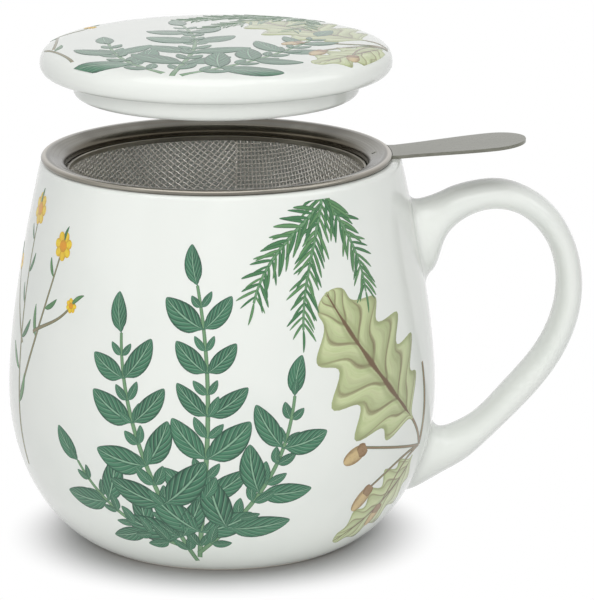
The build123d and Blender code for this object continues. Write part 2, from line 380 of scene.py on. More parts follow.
def piece(name, points, faces, body, material, stands_for=(), sharp=40):
    """A finished object from points and faces, riding on a body."""
    mesh = bpy.data.meshes.new(name)
    mesh.from_pydata([tuple(p) for p in points], [], faces)
    made = bmesh.new()
    made.from_mesh(mesh)
    bmesh.ops.remove_doubles(made, verts=made.verts, dist=1e-7)
    bmesh.ops.dissolve_degenerate(made, edges=made.edges, dist=1e-7)
    bmesh.ops.recalc_face_normals(made, faces=made.faces)
    made.to_mesh(mesh)
    made.free()
    return dress(name, mesh, body, material, stands_for, sharp)


def dress(name, mesh, body, material, stands_for=(), sharp=40):
    """An object of this mesh with its finish, shading and body."""
    mesh.name = name
    mesh.materials.clear()
    mesh.materials.append(material)
    mesh.shade_smooth()
    mesh.set_sharp_from_angle(angle=math.radians(sharp))
    made = bpy.data.objects.new(name, mesh)
    bpy.context.scene.collection.objects.link(made)
    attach(made, body)
    if stands_for:
        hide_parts(*stands_for)
    return made


def turned(profile, angle, shift=0.0):
    """Points and faces of a closed (radius, height) profile turned about +Z, at these angles or this many,
    then shifted along +X."""
    profile = np.asarray(profile, float)
    if isinstance(angle, int):
        angle = np.arange(angle) * 2 * math.pi / angle
    count, segments = len(profile), len(angle)
    points = np.stack([profile[:, 0:1] * np.cos(angle) + shift, profile[:, 0:1] * np.sin(angle),
                       np.repeat(profile[:, 1:2], segments, 1)], -1).reshape(-1, 3)
    on_axis, faces = profile[:, 0] < 1e-9, []
    for i in range(count):
        j = (i + 1) % count
        for k in range(segments):
            m = (k + 1) % segments
            a, b, c, d = i * segments + k, i * segments + m, j * segments + m, j * segments + k
            if on_axis[i] and not on_axis[j]:
                faces.append((i * segments, c, d))
            elif on_axis[j] and not on_axis[i]:
                faces.append((a, b, j * segments))
            elif not on_axis[i]:
                faces.append((a, b, c, d))
    return points, faces


# ---------------------------------------------------------------- the porcelain's shape


def shoulder(s, inset):
    """Guide points of the wall above the belly, this far in from the outside."""
    return ((s.belly - inset, s.belly_height), (s.belly - inset, s.belly_height + s.fullness),
            (s.rim - inset + s.flare_in, s.height - s.flare_down), (s.rim - inset, s.height))


def base(s):
    """Centre of the base curve and the angle at which it meets the foot plane."""
    return (s.belly - s.roundness, s.belly_height), math.degrees(
        math.asin(-s.belly_height / (s.belly_height + s.tuck)))


def outside(s, count=240):
    """The outside of the body, from the foot to the brim."""
    centre, tuck = base(s)
    return joined(oval(centre, s.roundness, s.belly_height + s.tuck, tuck, 0, count // 2),
                  cubic(shoulder(s, 0), count // 2))


def outer_wall(s):
    """The body's outside radius and its slope, both as functions of the height."""
    radius, height = outside(s, 2000).T
    slope = np.gradient(radius, height)
    return (lambda at: np.interp(at, height, radius)), (lambda at: np.interp(at, height, slope))


# ---------------------------------------------------------------- finishes


def glazed(s, name, foot=False):
    """Clear glaze over white porcelain, pooled here and there, bare on the foot ring."""
    f = Finish(name)
    spot = f.place()
    pool = f.noise(spot, scale=38.0, detail=3.0, rough=0.55).step(0.42, 0.80)
    tone = f.mix(pool * 0.35, tuple(s.glaze), tuple(s.pooled))
    gloss = f.noise(spot, scale=160.0) * 0.05 + 0.075
    ripple = f.noise(spot, scale=95.0, rough=0.4)
    if foot:
        blur = 0.0002
        bare = 1 - spot.part()[2].step(s.glaze_line - blur, s.glaze_line + blur)
        tone = f.mix(bare, tone, tuple(s.biscuit))
        gloss = gloss + bare * 0.55
        ripple = ripple + f.noise(spot, scale=2600.0, detail=3.0) * bare * 0.12
    return f.set(Base_Color=tone, Roughness=gloss, Normal=f.bump(ripple, 0.10, 0.0004), IOR=1.5)


def times(tint, *factors):
    """The colour, each channel times its factor or all times one."""
    return tuple(min(1, c * factor) for c, factor in zip(tint, factors if len(factors) > 1 else factors * 3))


def spun(s, name, tint, dull=0.22, coarse=1.0, top=None):
    """Steel turned on a lathe: fine rings about the axis, painted wedges of light and shade, and painted
    brown reflection bands.
    With the height of the flange's top, a highlight is painted on the hem and painted shade darkens the
    collar below the flange's top."""
    f = Finish(name)
    x, y, z = f.place(shift=(-s.shift, 0, 0)).part()
    radius = (x * x + y * y) ** 0.5

    def streaks(around, across, detail=2.0):
        turn = (x / radius * around, y / radius * around)
        spot = f.node("ShaderNodeCombineXYZ", {}, *turn, (radius + z) * across)
        return f.noise(spot, 1.0, detail, rough=0.55)

    ring, painted_light_wedge, painted_reflection_band = streaks(1.1, 5200.0 * coarse, 3.0), streaks(2.6, 40.0), streaks(0.8, 1500.0)
    # painted light: wedges of reflected light and shade, brightening and darkening the steel's colour
    shade = f.mix(painted_light_wedge.step(0.3, 0.7), times(tint, 0.62), times(tint, 1.30))
    # painted reflection: brown bands across the steel's colour
    shade = f.mix(painted_reflection_band.step(0.40, 0.68) * 0.5, shade, times(tint, 0.62, 0.52, 0.46))
    shade = f.mix(ring.step(0.3, 0.75) * 0.35, shade, times(tint, 0.62))
    if top:
        # painted highlight on the hem: full on its rounded top, a quarter of it below
        crest, outer = z.step(top - 0.0005, top + 0.0001), radius.step(s.flange - 0.0015, s.flange - 0.0009)
        painted_hem_highlight, deep = outer * (crest * 0.75 + 0.25), 1 - z.step(top - 0.0023, top - 0.0007)
        shade = f.mix(painted_hem_highlight, shade, tuple(s.hem_steel))
        # painted shade: the collar below the flange's top is darkened, varied by the reflection bands
        shade = f.mix(deep * (painted_reflection_band * 0.4 + 0.55), shade, times(tint, 0.52, 0.45, 0.37))
    return f.set(Base_Color=shade, Metallic=1.0, Roughness=ring * 0.12 + painted_light_wedge * 0.10 + (dull - 0.11),
                 Normal=f.bump(ring, 0.25, 0.00003))


def brushed(name, tint):
    """Strip steel brushed along its length."""
    f = Finish(name)
    grain = f.noise(f.place(scale=(260.0, 5200.0, 5200.0)), 1.0, detail=3.0, rough=0.6)
    sheen = f.noise(f.place(scale=(30.0, 110.0, 60.0)), 1.0)
    shade = f.mix(grain.step(0.25, 0.8), times(tint, 0.78), times(tint, 1.15))
    return f.set(Base_Color=shade, Metallic=1.0, Roughness=grain * 0.16 + sheen * 0.08 + 0.17,
                 Normal=f.bump(grain, 0.3, 0.00003))


def wire_finish(name, tint):
    """Drawn wire, a little darker where grease and tea hold."""
    f = Finish(name)
    spot = f.place()
    stain = f.noise(spot, scale=55.0, detail=3.0, rough=0.6).step(0.35, 0.75)
    draw = f.noise(spot, scale=1500.0)
    shade = f.mix(stain * 0.45, tuple(tint), times(tint, 0.62))
    return f.set(Base_Color=shade, Metallic=0.75, Roughness=draw * 0.12 + 0.22)


# ---------------------------------------------------------------- porcelain


def spline(knots, values, at):
    """Cubic interpolation with free ends."""
    knots, values = np.asarray(knots, float), np.asarray(values, float).reshape(len(knots), -1)
    n, h = len(knots), np.diff(knots)
    rows, right = np.eye(n), np.zeros((n, values.shape[1]))
    slope = np.diff(values, axis=0) / h[:, None]
    for i in range(1, n - 1):
        rows[i, i - 1:i + 2] = h[i - 1], 2 * (h[i - 1] + h[i]), h[i]
        right[i] = 6 * (slope[i] - slope[i - 1])
    bend = np.linalg.solve(rows, right)
    i = np.clip(np.searchsorted(knots, at) - 1, 0, n - 2)
    a, b = (knots[i + 1] - at)[:, None], (np.asarray(at) - knots[i])[:, None]
    g = h[i][:, None]
    return (bend[i] * a ** 3 + bend[i + 1] * b ** 3) / (6 * g) + (values[i] / g - bend[i] * g / 6) * a + (
        values[i + 1] / g - bend[i + 1] * g / 6) * b


def along(points):
    """Distances along a line."""
    return np.concatenate([[0], np.cumsum(np.linalg.norm(np.diff(points, axis=0), axis=1))])


def body_profile(s):
    """The body's section, from the foot up the outside, over the brim, down the inside and under."""
    centre, _ = base(s)
    wall, inside = outside(s), s.rim - s.wall
    ring = wall[0, 0] - s.foot_width
    profile = joined(
        wall,
        line((s.rim, s.height), (inside, s.height), 9),
        cubic(shoulder(s, s.wall), 110)[::-1],
        oval(centre, s.roundness - s.wall, s.belly_height - s.inner_floor, 0, -90, 70),
        line((centre[0], s.inner_floor), (0, s.inner_floor), 14),
        line((0, s.recess), (ring - s.recess / 2, s.recess), 14),
        line((ring - s.recess / 2, s.recess), (ring, 0), 5),
        line((ring, 0), (wall[0, 0], 0), 7)[:-1])
    for corner, radius in (((s.rim, s.height), s.brim_round), ((inside, s.height), s.brim_round),
                           ((ring, 0), s.foot_round)):
        profile = eased(profile, corner, radius)
    return profile


# place along the centreline, the root's spread over the grip's thickness, and the way the section faces
HANDLE_SECTIONS = (
    (0.0, 1.0, 8), (0.040, 0.955, 11), (0.063, 0.765, 9), (0.092, 0.46, 5), (0.121, 0.31, -2),
    (0.157, 0.17, -5), (0.232, 0.07, -12), (0.275, 0.04, -23), (0.321, 0.03, -43), (0.383, 0.0, -62),
    (0.486, 0.01, -94), (0.625, 0.035, -128), (0.767, 0.07, -152), (0.845, 0.10, -161), (0.892, 0.23, -172),
    (0.927, 0.34, -179), (0.951, 0.57, -187), (0.973, 0.82, -191), (1.0, 1.0, -196))


def handle_centreline(s):
    """Points of the handle's centreline in the XZ plane, from the upper root to the lower one."""
    top, crown, waist, low = s.height - s.top_root, s.height - s.crown, s.height - s.waist, s.low_root
    top_x, low_x = (outer_wall(s)[0](height) for height in (top, low))
    top_out, low_out, climb, drop = s.reach - top_x, s.reach - low_x, crown - top, waist - low
    in_wall = 0.0034
    guides = [(top_x - in_wall, top), (top_x + 0.080 * top_out, top + 0.27 * climb),
              (top_x + 0.138 * top_out, top + 0.51 * climb), (top_x + 0.308 * top_out, top + 0.89 * climb),
              (top_x + 0.549 * top_out, crown), (top_x + 0.805 * top_out, crown - 0.207 * (crown - waist)),
              (s.reach, waist), (low_x + 0.875 * low_out, low + 0.613 * drop),
              (low_x + 0.577 * low_out, low + 0.293 * drop), (low_x + 0.263 * low_out, low + 0.056 * drop),
              (low_x + 0.083 * low_out, low), (low_x - in_wall, low)]
    return np.array(guides, float), (top_x, top), (low_x, low)


def handle_rings(s, guides, count=260, around=64):
    """Points round the handle's sections, before they are fitted to the wall."""
    chord = along(guides)
    fine = spline(chord, guides, np.linspace(0, chord[-1], 4000))
    run = along(fine)
    run /= run[-1]
    place = np.linspace(0, 1, count)
    centre = np.stack([np.interp(place, run, fine[:, k]) for k in (0, 1)], -1)
    station, flare, facing = zip(*HANDLE_SECTIONS)
    flare, facing = (spline(station, v, place)[:, 0] for v in (flare, facing))
    flare, facing = np.clip(flare, 0, 1), np.radians(facing)
    across = s.grip_thickness + flare * (np.where(place < 0.5, s.top_spread, s.low_spread) - s.grip_thickness)
    wide = s.grip_width + flare * (s.root_width - s.grip_width)
    turn = np.linspace(0, 2 * math.pi, around, endpoint=False)
    side, lift = np.cos(turn) * wide[:, None] / 2, np.sin(turn) * across[:, None] / 2
    return np.stack([centre[:, :1] - np.sin(facing)[:, None] * lift, side,
                     centre[:, 1:] + np.cos(facing)[:, None] * lift], -1)


def handle_lines(s, steps=10, middle=75):
    """Lines along the handle, each ending in a fillet that runs out on the wall."""
    guides, top, low = handle_centreline(s)
    rings, (wall, slope) = handle_rings(s, guides), outer_wall(s)

    def between(points, run, at):
        return np.stack([np.interp(at, run, points[:, c]) for c in range(3)], -1)

    def half(grip, root):
        """One line from the middle of the grip to its root, and the fillet from there on to the wall."""
        stand = np.hypot(grip[:, 0], grip[:, 1]) - wall(grip[:, 2])
        k = int(np.argmax(stand < 0)) or len(stand) - 1
        meet = grip[k - 1] + (grip[k] - grip[k - 1]) * stand[k - 1] / (stand[k - 1] - stand[k])
        free = np.concatenate([grip[:k], meet[None]])
        run = along(free)
        last = run[-1] - s.root_run
        radius = math.hypot(meet[0], meet[1])
        out = np.array([meet[0] / radius, meet[1] / radius, -slope(meet[2])])
        out /= np.linalg.norm(out)
        away = meet - np.array([root[0], 0, root[1]])
        away -= out * away.dot(out)
        end = meet + away / np.linalg.norm(away) * s.root_run
        just_under = 0.00001
        end[:2] *= (wall(end[2]) - just_under) / math.hypot(end[0], end[1])
        t = np.linspace(0, 1, steps)[:, None]
        fillet = (1 - t) ** 2 * between(free, run, last) + 2 * (1 - t) * t * meet + t * t * end
        return np.concatenate([between(grip, along(grip), np.linspace(0, last, middle)), fillet[1:]])

    mid = len(rings) // 2
    return np.array([np.concatenate([half(grip[mid::-1], top)[::-1], half(grip[mid:], low)[1:]])
                     for grip in rings.transpose(1, 0, 2)])


def run_out(s, mesh):
    """Gives the ends of the handle's fillets the wall's own shading."""
    wall, slope = outer_wall(s)
    points, normals = (np.empty(len(mesh.vertices) * 3, np.float32) for _ in range(2))
    mesh.vertices.foreach_get("co", points)
    mesh.vertices.foreach_get("normal", normals)
    points, normals = points.reshape(-1, 3), normals.reshape(-1, 3)
    radius = np.hypot(points[:, 0], points[:, 1])
    on_wall = 0.00002
    end = np.abs(radius - wall(points[:, 2])) < on_wall
    out = np.stack([points[:, 0] / radius, points[:, 1] / radius, -slope(points[:, 2])], -1)
    normals[end] = (out / np.linalg.norm(out, axis=1)[:, None])[end]
    mesh.normals_split_custom_set_from_vertices(normals.tolist())


def lid_crown(s, plane, count=90):
    """The top of the lid, from its centre to its widest place."""
    top, flat, fall = plane + s.crown, s.edge - s.shoulder, 0.036
    brow = (flat, top - s.dome)
    pull, drop = 0.457 * s.shoulder, 0.951 * (s.crown - s.dome)
    middle = (0, top), (flat * 0.4, top), (flat * 0.6, brow[1] + fall * flat * 0.4), brow
    rounded = brow, (flat + pull, brow[1] - fall * pull), (s.edge, plane + drop), (s.edge, plane)
    return joined(cubic(middle, count // 2), cubic(rounded, count // 2))


def lid_profile(s, plane):
    """The lid's section from the centre of its top round to the centre of its hollow."""
    under, ceiling = plane - s.under, plane + s.crown - s.plate
    shoulder, foot = (s.ring, under), (s.ring - s.ring_taper, under - s.ring_height)
    heel, corner = (foot[0] - s.ring_wall, foot[1]), (foot[0] - s.ring_wall + s.ring_taper / 2, ceiling)
    profile = joined(
        lid_crown(s, plane),
        oval((s.edge - s.under, plane), s.under, s.under, 0, -90, 16),
        line((s.edge - s.under, under), shoulder, 9), line(shoulder, foot, 12), line(foot, heel, 12),
        line(heel, corner, 14), line(corner, (0, ceiling), 24))
    for place, radius in ((shoulder, s.cove), (foot, s.ring_round), (heel, s.ring_round),
                          (corner, s.hollow_round)):
        profile = eased(profile, place, radius)
    return profile


# ---------------------------------------------------------------- the infuser


def flange_top(s, brim):
    """Height of the flange's top, which the tab's gauge holds off the brim."""
    return brim + s.tab + s.sheet


def rim_profile(s, brim):
    """Section of the spun rim: hem, level edge, dished flange and upright collar."""
    top, hem, bore = flange_top(s, brim), s.flange - s.hem, s.collar - s.sheet
    foot, edge = top - s.collar_depth, hem - s.sheet * math.tan(s.dish / 2)
    heel = top - (edge - bore) * math.tan(s.dish)
    heel_under = heel + s.sheet * (math.tan(s.dish) - 1 / math.cos(s.dish))
    profile = joined(
        line((s.flange, brim), (s.flange, top), 9), line((s.flange, top), (edge, top), 12),
        line((edge, top), (bore, heel), 36), line((bore, heel), (bore, foot), 16),
        line((bore, foot), (s.collar, foot), 3), line((s.collar, foot), (s.collar, heel_under), 16),
        line((s.collar, heel_under), (hem, top - s.sheet), 30), line((hem, top - s.sheet), (hem, brim), 5),
        line((hem, brim), (s.flange, brim), 9)[:-1])
    for corner, radius in (((s.flange, top), s.hem_round), ((s.flange, brim), s.lip_round),
                           ((edge, top), s.dish_round), ((bore, heel), s.fold),
                           ((s.collar, heel_under), s.fold - s.sheet)):
        profile = eased(profile, corner, radius)
    return profile


def hoop_profile(s, foot):
    """Section of the hoop that clamps the cloth against the collar."""
    outer, top = s.collar - s.sheet - s.gauge, foot + s.hoop_height
    inner = outer - s.hoop
    profile = joined(line((inner, foot), (outer, foot), 3), line((outer, foot), (outer, top), 5),
                     line((outer, top), (inner, top), 5), line((inner, top), (inner, foot), 6)[:-1])
    for corner in ((inner, top), (inner, foot)):
        profile = eased(profile, corner, s.hoop_round, 5)
    return profile


def bowl_curve(s, foot):
    """The bowl's (radius, height) curve through the middle of the cloth, from above the brim to the pole."""
    half, above = s.gauge / 2, 0.03
    radius, low = s.collar - s.sheet - half, foot - s.depth - half
    curve = cubic(((radius, foot), (radius, foot - s.side), (s.pole + half, low), (0, low)), 3000)
    return joined([(radius, foot + above)], curve)


# pleats round the bowl: place, and the cloth's own direction where it goes in and where it comes out again
PLEATS = ((78, 0, 33), (168, 78, 114), (258, 174, 207), (348, 267, 300))
LOOSE = 66                  # turn of the cloth from its own direction where nothing is folded
FOLDED = 0.022, 0.048       # distances from the pole at which the folding starts and is full
UNPLEATED = 0.001, 0.003    # below the collar: how far the pleats are pressed flat, then how far they fade
CLOTH_REACH = 0.075         # half the width of the cloth that is pressed


def draped(s, foot):
    """Node places and outward directions of a square net pressed on the bowl.
    The places are blank where the net is cut off or folded in."""
    curve = bowl_curve(s, foot)[::-1]
    run_there, slope = along(curve), np.gradient(curve, axis=0)
    slope /= np.linalg.norm(slope, axis=1)[:, None]
    n = int(CLOTH_REACH / s.pitch)
    i, j = np.meshgrid(np.arange(-n, n + 1), np.arange(-n, n + 1), indexing="ij")
    run, own = s.pitch * s.stretch * np.hypot(i, j), np.degrees(np.arctan2(j, i)) % 360
    radius, height, across, up = (
        np.interp(run, run_there, values) for values in (*curve.T, slope[:, 1], -slope[:, 0]))
    folded = np.clip((run - FOLDED[0]) / (FOLDED[1] - FOLDED[0]), 0, 1)
    folded *= folded * (3 - 2 * folded)

    def eased_to(loose, direction):
        return loose + folded * (direction - loose)

    angle, shows, pinch = np.zeros_like(run), np.zeros_like(run, bool), np.zeros_like(run)
    for k, (place, goes_in, comes_out) in enumerate(PLEATS):
        next_place, next_in, _ = PLEATS[(k + 1) % len(PLEATS)]
        start, end = eased_to(place - LOOSE, comes_out), eased_to(next_place - LOOSE, next_in)
        share = ((own - start) % 360) / ((end - start) % 360)
        angle = np.where(share < 1, place + share * ((next_place - place) % 360), angle)
        shows |= share < 1
        hidden = (start - eased_to(place - LOOSE, goes_in)) % 360
        angle = np.where((start - own) % 360 <= hidden, place, angle)
    flat_by_collar = np.clip((foot - UNPLEATED[0] - height) / UNPLEATED[1], 0, 1)
    for place, _, _ in PLEATS:
        aside = radius * np.radians((angle - place + 180) % 360 - 180) / s.pleat_width
        pinch += s.pleat * np.exp(-aside ** 2) * folded * flat_by_collar
    angle = np.radians(angle)
    net = np.stack([(radius - pinch) * np.cos(angle), (radius - pinch) * np.sin(angle), height], -1)
    beside = shows.copy()
    for axis in (0, 1):
        for step in (-1, 1):
            beside |= np.roll(shows, step, axis)
    net[(height > foot + s.tuck) | ~beside] = np.nan
    return net, np.stack([across * np.cos(angle), across * np.sin(angle), up], -1)


def wires(net, outward, across, first_half, shift):
    """Half of one set of wires as lines, each point with its outward direction and its over or under."""
    grid, outward = (v.transpose(1, 0, 2) if across else v for v in (net, outward))
    good = ~np.isnan(grid).any(-1)
    good &= (np.arange(good.shape[1]) < good.shape[1] // 2) == first_half
    index = np.full(good.shape, -1)
    index[good] = np.arange(good.sum())
    i, j = np.nonzero(good)
    pair = good[:-1] & good[1:]
    edges = np.stack([index[:-1][pair], index[1:][pair]], -1)
    mesh = bpy.data.meshes.new("wires")
    mesh.from_pydata((grid[good] + (shift, 0, 0)).tolist(), edges.tolist(), [])
    carry(mesh, "over", np.where((i + j + across) % 2 == 0, 1.0, -1.0))
    carry(mesh, "outward", outward[good])
    return mesh


class Nodes:
    """A geometry node tree that is built one node at a time."""

    def __init__(self, name, **sockets):
        self.tree = bpy.data.node_groups.new(name, "GeometryNodeTree")
        self.ids = {}
        self.tree.interface.new_socket("Geometry", in_out="OUTPUT", socket_type="NodeSocketGeometry")
        self.tree.interface.new_socket("Geometry", in_out="INPUT", socket_type="NodeSocketGeometry")
        for key, (kind, value) in sockets.items():
            made = self.tree.interface.new_socket(key.replace("_", " "), in_out="INPUT", socket_type=kind)
            if value is not None:
                made.default_value = value
            self.ids[key] = made.identifier
        self.inputs = self.tree.nodes.new("NodeGroupInput")
        self.result = self.tree.nodes.new("NodeGroupOutput")

    def given(self, name):
        return self.inputs.outputs[name.replace("_", " ")]

    def add(self, kind, settings=None, *values, **named):
        return new_node(self.tree, kind, settings, values, named, self.feed)

    def feed(self, socket, value):
        """Links the socket to a node's output, or gives it a value."""
        if isinstance(value, bpy.types.Node):
            value = value.outputs[0]
        if isinstance(value, bpy.types.NodeSocket):
            self.tree.links.new(value, socket)
        else:
            socket.default_value = value

    def finish(self, geometry, material):
        """Ends the tree in real geometry with its material."""
        real = self.add("GeometryNodeRealizeInstances", None, geometry)
        done = self.add("GeometryNodeSetMaterial", None, real, Material=material)
        self.tree.links.new(done.outputs[0], self.result.inputs[0])
        return self

    def run(self, source, **values):
        """The plain mesh that the tree makes of this mesh or curve."""
        made = bpy.data.objects.new("source", source)
        bpy.context.scene.collection.objects.link(made)
        modifier = made.modifiers.new(self.tree.name, "NODES")
        modifier.node_group = self.tree
        for key, value in values.items():
            modifier[self.ids[key]] = value
        view = bpy.context.evaluated_depsgraph_get()
        made_real = made.evaluated_get(view)
        mesh = bpy.data.meshes.new_from_object(made_real, preserve_all_data_layers=True, depsgraph=view)
        made.modifiers.clear()
        bpy.data.objects.remove(made)
        bpy.data.node_groups.remove(self.tree)
        return mesh


def crimped_wire():
    """Tree that pushes each wire over and under its neighbours and gives it its thickness."""
    g = Nodes("crimped_wire", Wire=("NodeSocketFloat", 0.00043), Crimp=("NodeSocketFloat", 0.000215),
              Finish=("NodeSocketMaterial", None))
    over = g.add("GeometryNodeInputNamedAttribute", {"data_type": "FLOAT"}, "over")
    outward = g.add("GeometryNodeInputNamedAttribute", {"data_type": "FLOAT_VECTOR"}, "outward")
    rise = g.add("ShaderNodeMath", {"operation": "MULTIPLY"}, over, g.given("Crimp"))
    push = g.add("ShaderNodeVectorMath", {"operation": "SCALE"}, outward, Scale=rise)
    moved = g.add("GeometryNodeSetPosition", None, g.inputs.outputs[0], Offset=push)
    curve = g.add("GeometryNodeMeshToCurve", None, moved)
    half = g.add("ShaderNodeMath", {"operation": "DIVIDE"}, g.given("Wire"), 2.0)
    ring = g.add("GeometryNodeCurvePrimitiveCircle", None, Resolution=6, Radius=half)
    tube = g.add("GeometryNodeCurveToMesh", None, curve, ring, Fill_Caps=True)
    return g.finish(tube, g.given("Finish"))


# ---------------------------------------------------------------- the printed herbal

# A print is drawn flat: along the wall from straight ahead and up from the foot, or across the lid's top.
# Each point carries `spot` (its place along its motif from 0 to 1, across it from -1 to 1, and 1 on its
# sunk border), `tone` and `layer` (0 to 1). Then it is laid on the glaze as a thin film whose border lies
# under the surface.


def grid_faces(rows, columns):
    """Faces of a grid of points, row after row."""
    i, j = (a.ravel() for a in np.meshgrid(np.arange(rows - 1), np.arange(columns - 1), indexing="ij"))
    k = i * columns + j
    return np.stack([k, k + columns, k + columns + 1, k + 1], -1)


def bordered(middle, half, rows=7, sunk=0.00006):
    """A flat motif about a middle line from its half widths, with a border a little outside it."""
    middle, half = np.asarray(middle, float), np.asarray(half, float)
    step = np.gradient(middle, axis=0)
    step /= np.linalg.norm(step, axis=1)[:, None]
    middle = np.concatenate([middle[:1] - step[:1] * sunk, middle, middle[-1:] + step[-1:] * sunk])
    step, half = (np.concatenate([a[:1], a, a[-1:]]) for a in (step, half))
    along_it = np.concatenate([[0], np.linspace(0, 1, len(middle) - 2), [1]])
    across = np.concatenate([[-1], np.linspace(-1, 1, rows), [1]])
    rim = np.zeros(rows + 2)
    rim[[0, -1]] = 1
    reach = half[:, None] * across + rim * across * sunk
    normal = np.stack([-step[:, 1], step[:, 0]], -1)
    points = middle[:, None] + normal[:, None] * reach[..., None]
    edge = np.maximum(rim[None, :], (np.arange(len(middle)) % (len(middle) - 1) == 0)[:, None])
    spot = np.stack([along_it[:, None] + 0 * reach, across + 0 * reach, edge + 0 * reach], -1)
    return points.reshape(-1, 2), spot.reshape(-1, 3), grid_faces(len(middle), rows + 2)


def motif(outline, bend=0.0, stations=18, rows=7):
    """A leaf or petal one long: its half widths are the outline's value at each place along it."""
    x = 0.5 - 0.5 * np.cos(np.linspace(0, math.pi, stations))
    thinnest, border = 0.005, 0.006
    return bordered(np.stack([x, 4 * bend * x * (1 - x)], -1), np.maximum(outline(x), thinnest), rows, border)


# outlines: the half width at each place along the motif, both as shares of its length


def lance(x):
    return 0.215 * np.sin(math.pi * x ** 0.92) ** 0.75 * (1 - np.exp(-(x / 0.11) ** 2)) + 0.012


def lobed(x):
    lobes = 0.5 + 0.5 * np.cos(2 * math.pi * (4.6 * x ** 0.9 + 0.42))
    tapered = np.sin(math.pi * x ** 0.72) ** 0.55 * (1 - np.exp(-(x / 0.10) ** 2))
    return tapered * (0.20 + 0.15 * lobes) + 0.008


def needle(x):
    return 0.062 * np.sin(math.pi * x ** 0.8) ** 0.5


def petal(x):
    return 0.30 * np.sin(math.pi * x ** 1.7) ** 0.55 + 0.03


def disc(x):
    return np.sqrt(np.maximum(0.25 - (x - 0.5) ** 2, 0))


def nut(x):
    return 0.30 * np.sin(math.pi * np.clip(x * 0.94 + 0.06, 0, 1)) ** 0.42


def cap(x):
    return 0.62 * np.sin(math.pi * np.clip(0.12 + 0.76 * x, 0, 1)) ** 0.5


# each motif's outline, bend, stations along it and rows across it
MOTIFS = {"lance": (lance, 0.05, 20, 7), "slim": (lambda x: lance(x) * 0.45, 0.08, 14, 5),
          "lobed": (lobed, 0.04, 80, 11), "needle": (needle, 0.03, 8, 3), "petal": (petal, 0.0, 12, 5),
          "disc": (disc, 0.0, 14, 7), "nut": (nut, 0.0, 16, 7), "cap": (cap, 0.0, 12, 7)}
# thinnest print, how much more where motifs overlap, and how deep its border lies
FILM, PILE, SUNK = 0.00003, 0.00006, 0.00002


def leafy_stem():
    """Tree that sets motifs along stems, by turns on either side or in pairs, and one at each tip."""
    g = Nodes("leafy_stem", Motif=("NodeSocketObject", None), Spacing=("NodeSocketFloat", 0.006),
              Low_Length=("NodeSocketFloat", 0.012), High_Length=("NodeSocketFloat", 0.008),
              Lean=("NodeSocketFloat", 0.9), Bare=("NodeSocketInt", 2), Pairs=("NodeSocketBool", False),
              Seed=("NodeSocketInt", 1), Finish=("NodeSocketMaterial", None))

    def chance(low, high, draw):
        seed = g.add("ShaderNodeMath", {"operation": "ADD"}, g.given("Seed"), float(draw))
        made = g.add("FunctionNodeRandomValue", {"data_type": "FLOAT"}, None, None, low, high, Seed=seed)
        return made.outputs[1]

    def both(operation, *values):
        return g.add("ShaderNodeMath", {"operation": operation}, *values)

    def logic(operation, *values):
        return g.add("FunctionNodeBooleanMath", {"operation": operation}, *values)

    def place(chosen, turn, long, broad):
        return g.add("GeometryNodeInstanceOnPoints", None, stems, chosen, shape,
                     Rotation=g.add("ShaderNodeCombineXYZ", None, 0.0, 0.0, turn),
                     Scale=g.add("ShaderNodeCombineXYZ", None, long, broad, long))

    def keep(geometry, name, draw):
        settings = {"data_type": "FLOAT", "domain": "INSTANCE"}
        value = chance(0.0, 1.0, draw)
        return g.add("GeometryNodeStoreNamedAttribute", settings, geometry, Name=name, Value=value)

    curve = g.add("GeometryNodeMeshToCurve", None, g.inputs.outputs[0])
    stems = g.add("GeometryNodeResampleCurve", {"mode": "LENGTH"}, curve, Length=g.given("Spacing"))
    shape = g.add("GeometryNodeObjectInfo", None, g.given("Motif")).outputs["Geometry"]
    share = g.add("GeometryNodeSplineParameter").outputs["Factor"]
    way = g.add("ShaderNodeSeparateXYZ", None, g.add("GeometryNodeInputTangent"))
    heading = both("ARCTAN2", way.outputs[1], way.outputs[0])
    size = g.add("ShaderNodeMix", {"data_type": "FLOAT"}, share, None, g.given("Low_Length"),
                 g.given("High_Length"))
    ends = g.add("GeometryNodeCurveEndpointSelection", None, g.given("Bare"), 1)
    tips = g.add("GeometryNodeCurveEndpointSelection", None, 0, 1)
    odd = both("MODULO", g.add("GeometryNodeInputIndex"), 2.0)
    placed = []
    for side, turn_of in ((1.0, odd), (-1.0, logic("NOT", odd))):
        chosen = logic("AND", logic("NOT", ends), logic("OR", g.given("Pairs"), turn_of))
        lean = both("MULTIPLY", both("ADD", g.given("Lean"), chance(-0.22, 0.22, side + 5)), side)
        long = both("MULTIPLY", size, chance(0.84, 1.14, side + 9))
        broad = both("MULTIPLY", long, both("MULTIPLY", chance(0.86, 1.16, side + 13), side))
        placed.append(place(chosen, both("ADD", heading, lean), long, broad))
    placed.append(place(tips, heading, size, size))
    joined_up = g.add("GeometryNodeJoinGeometry")
    for one in placed:
        g.tree.links.new(one.outputs[0], joined_up.inputs[0])
    return g.finish(keep(keep(joined_up, "tone", 31), "layer", 37), g.given("Finish"))


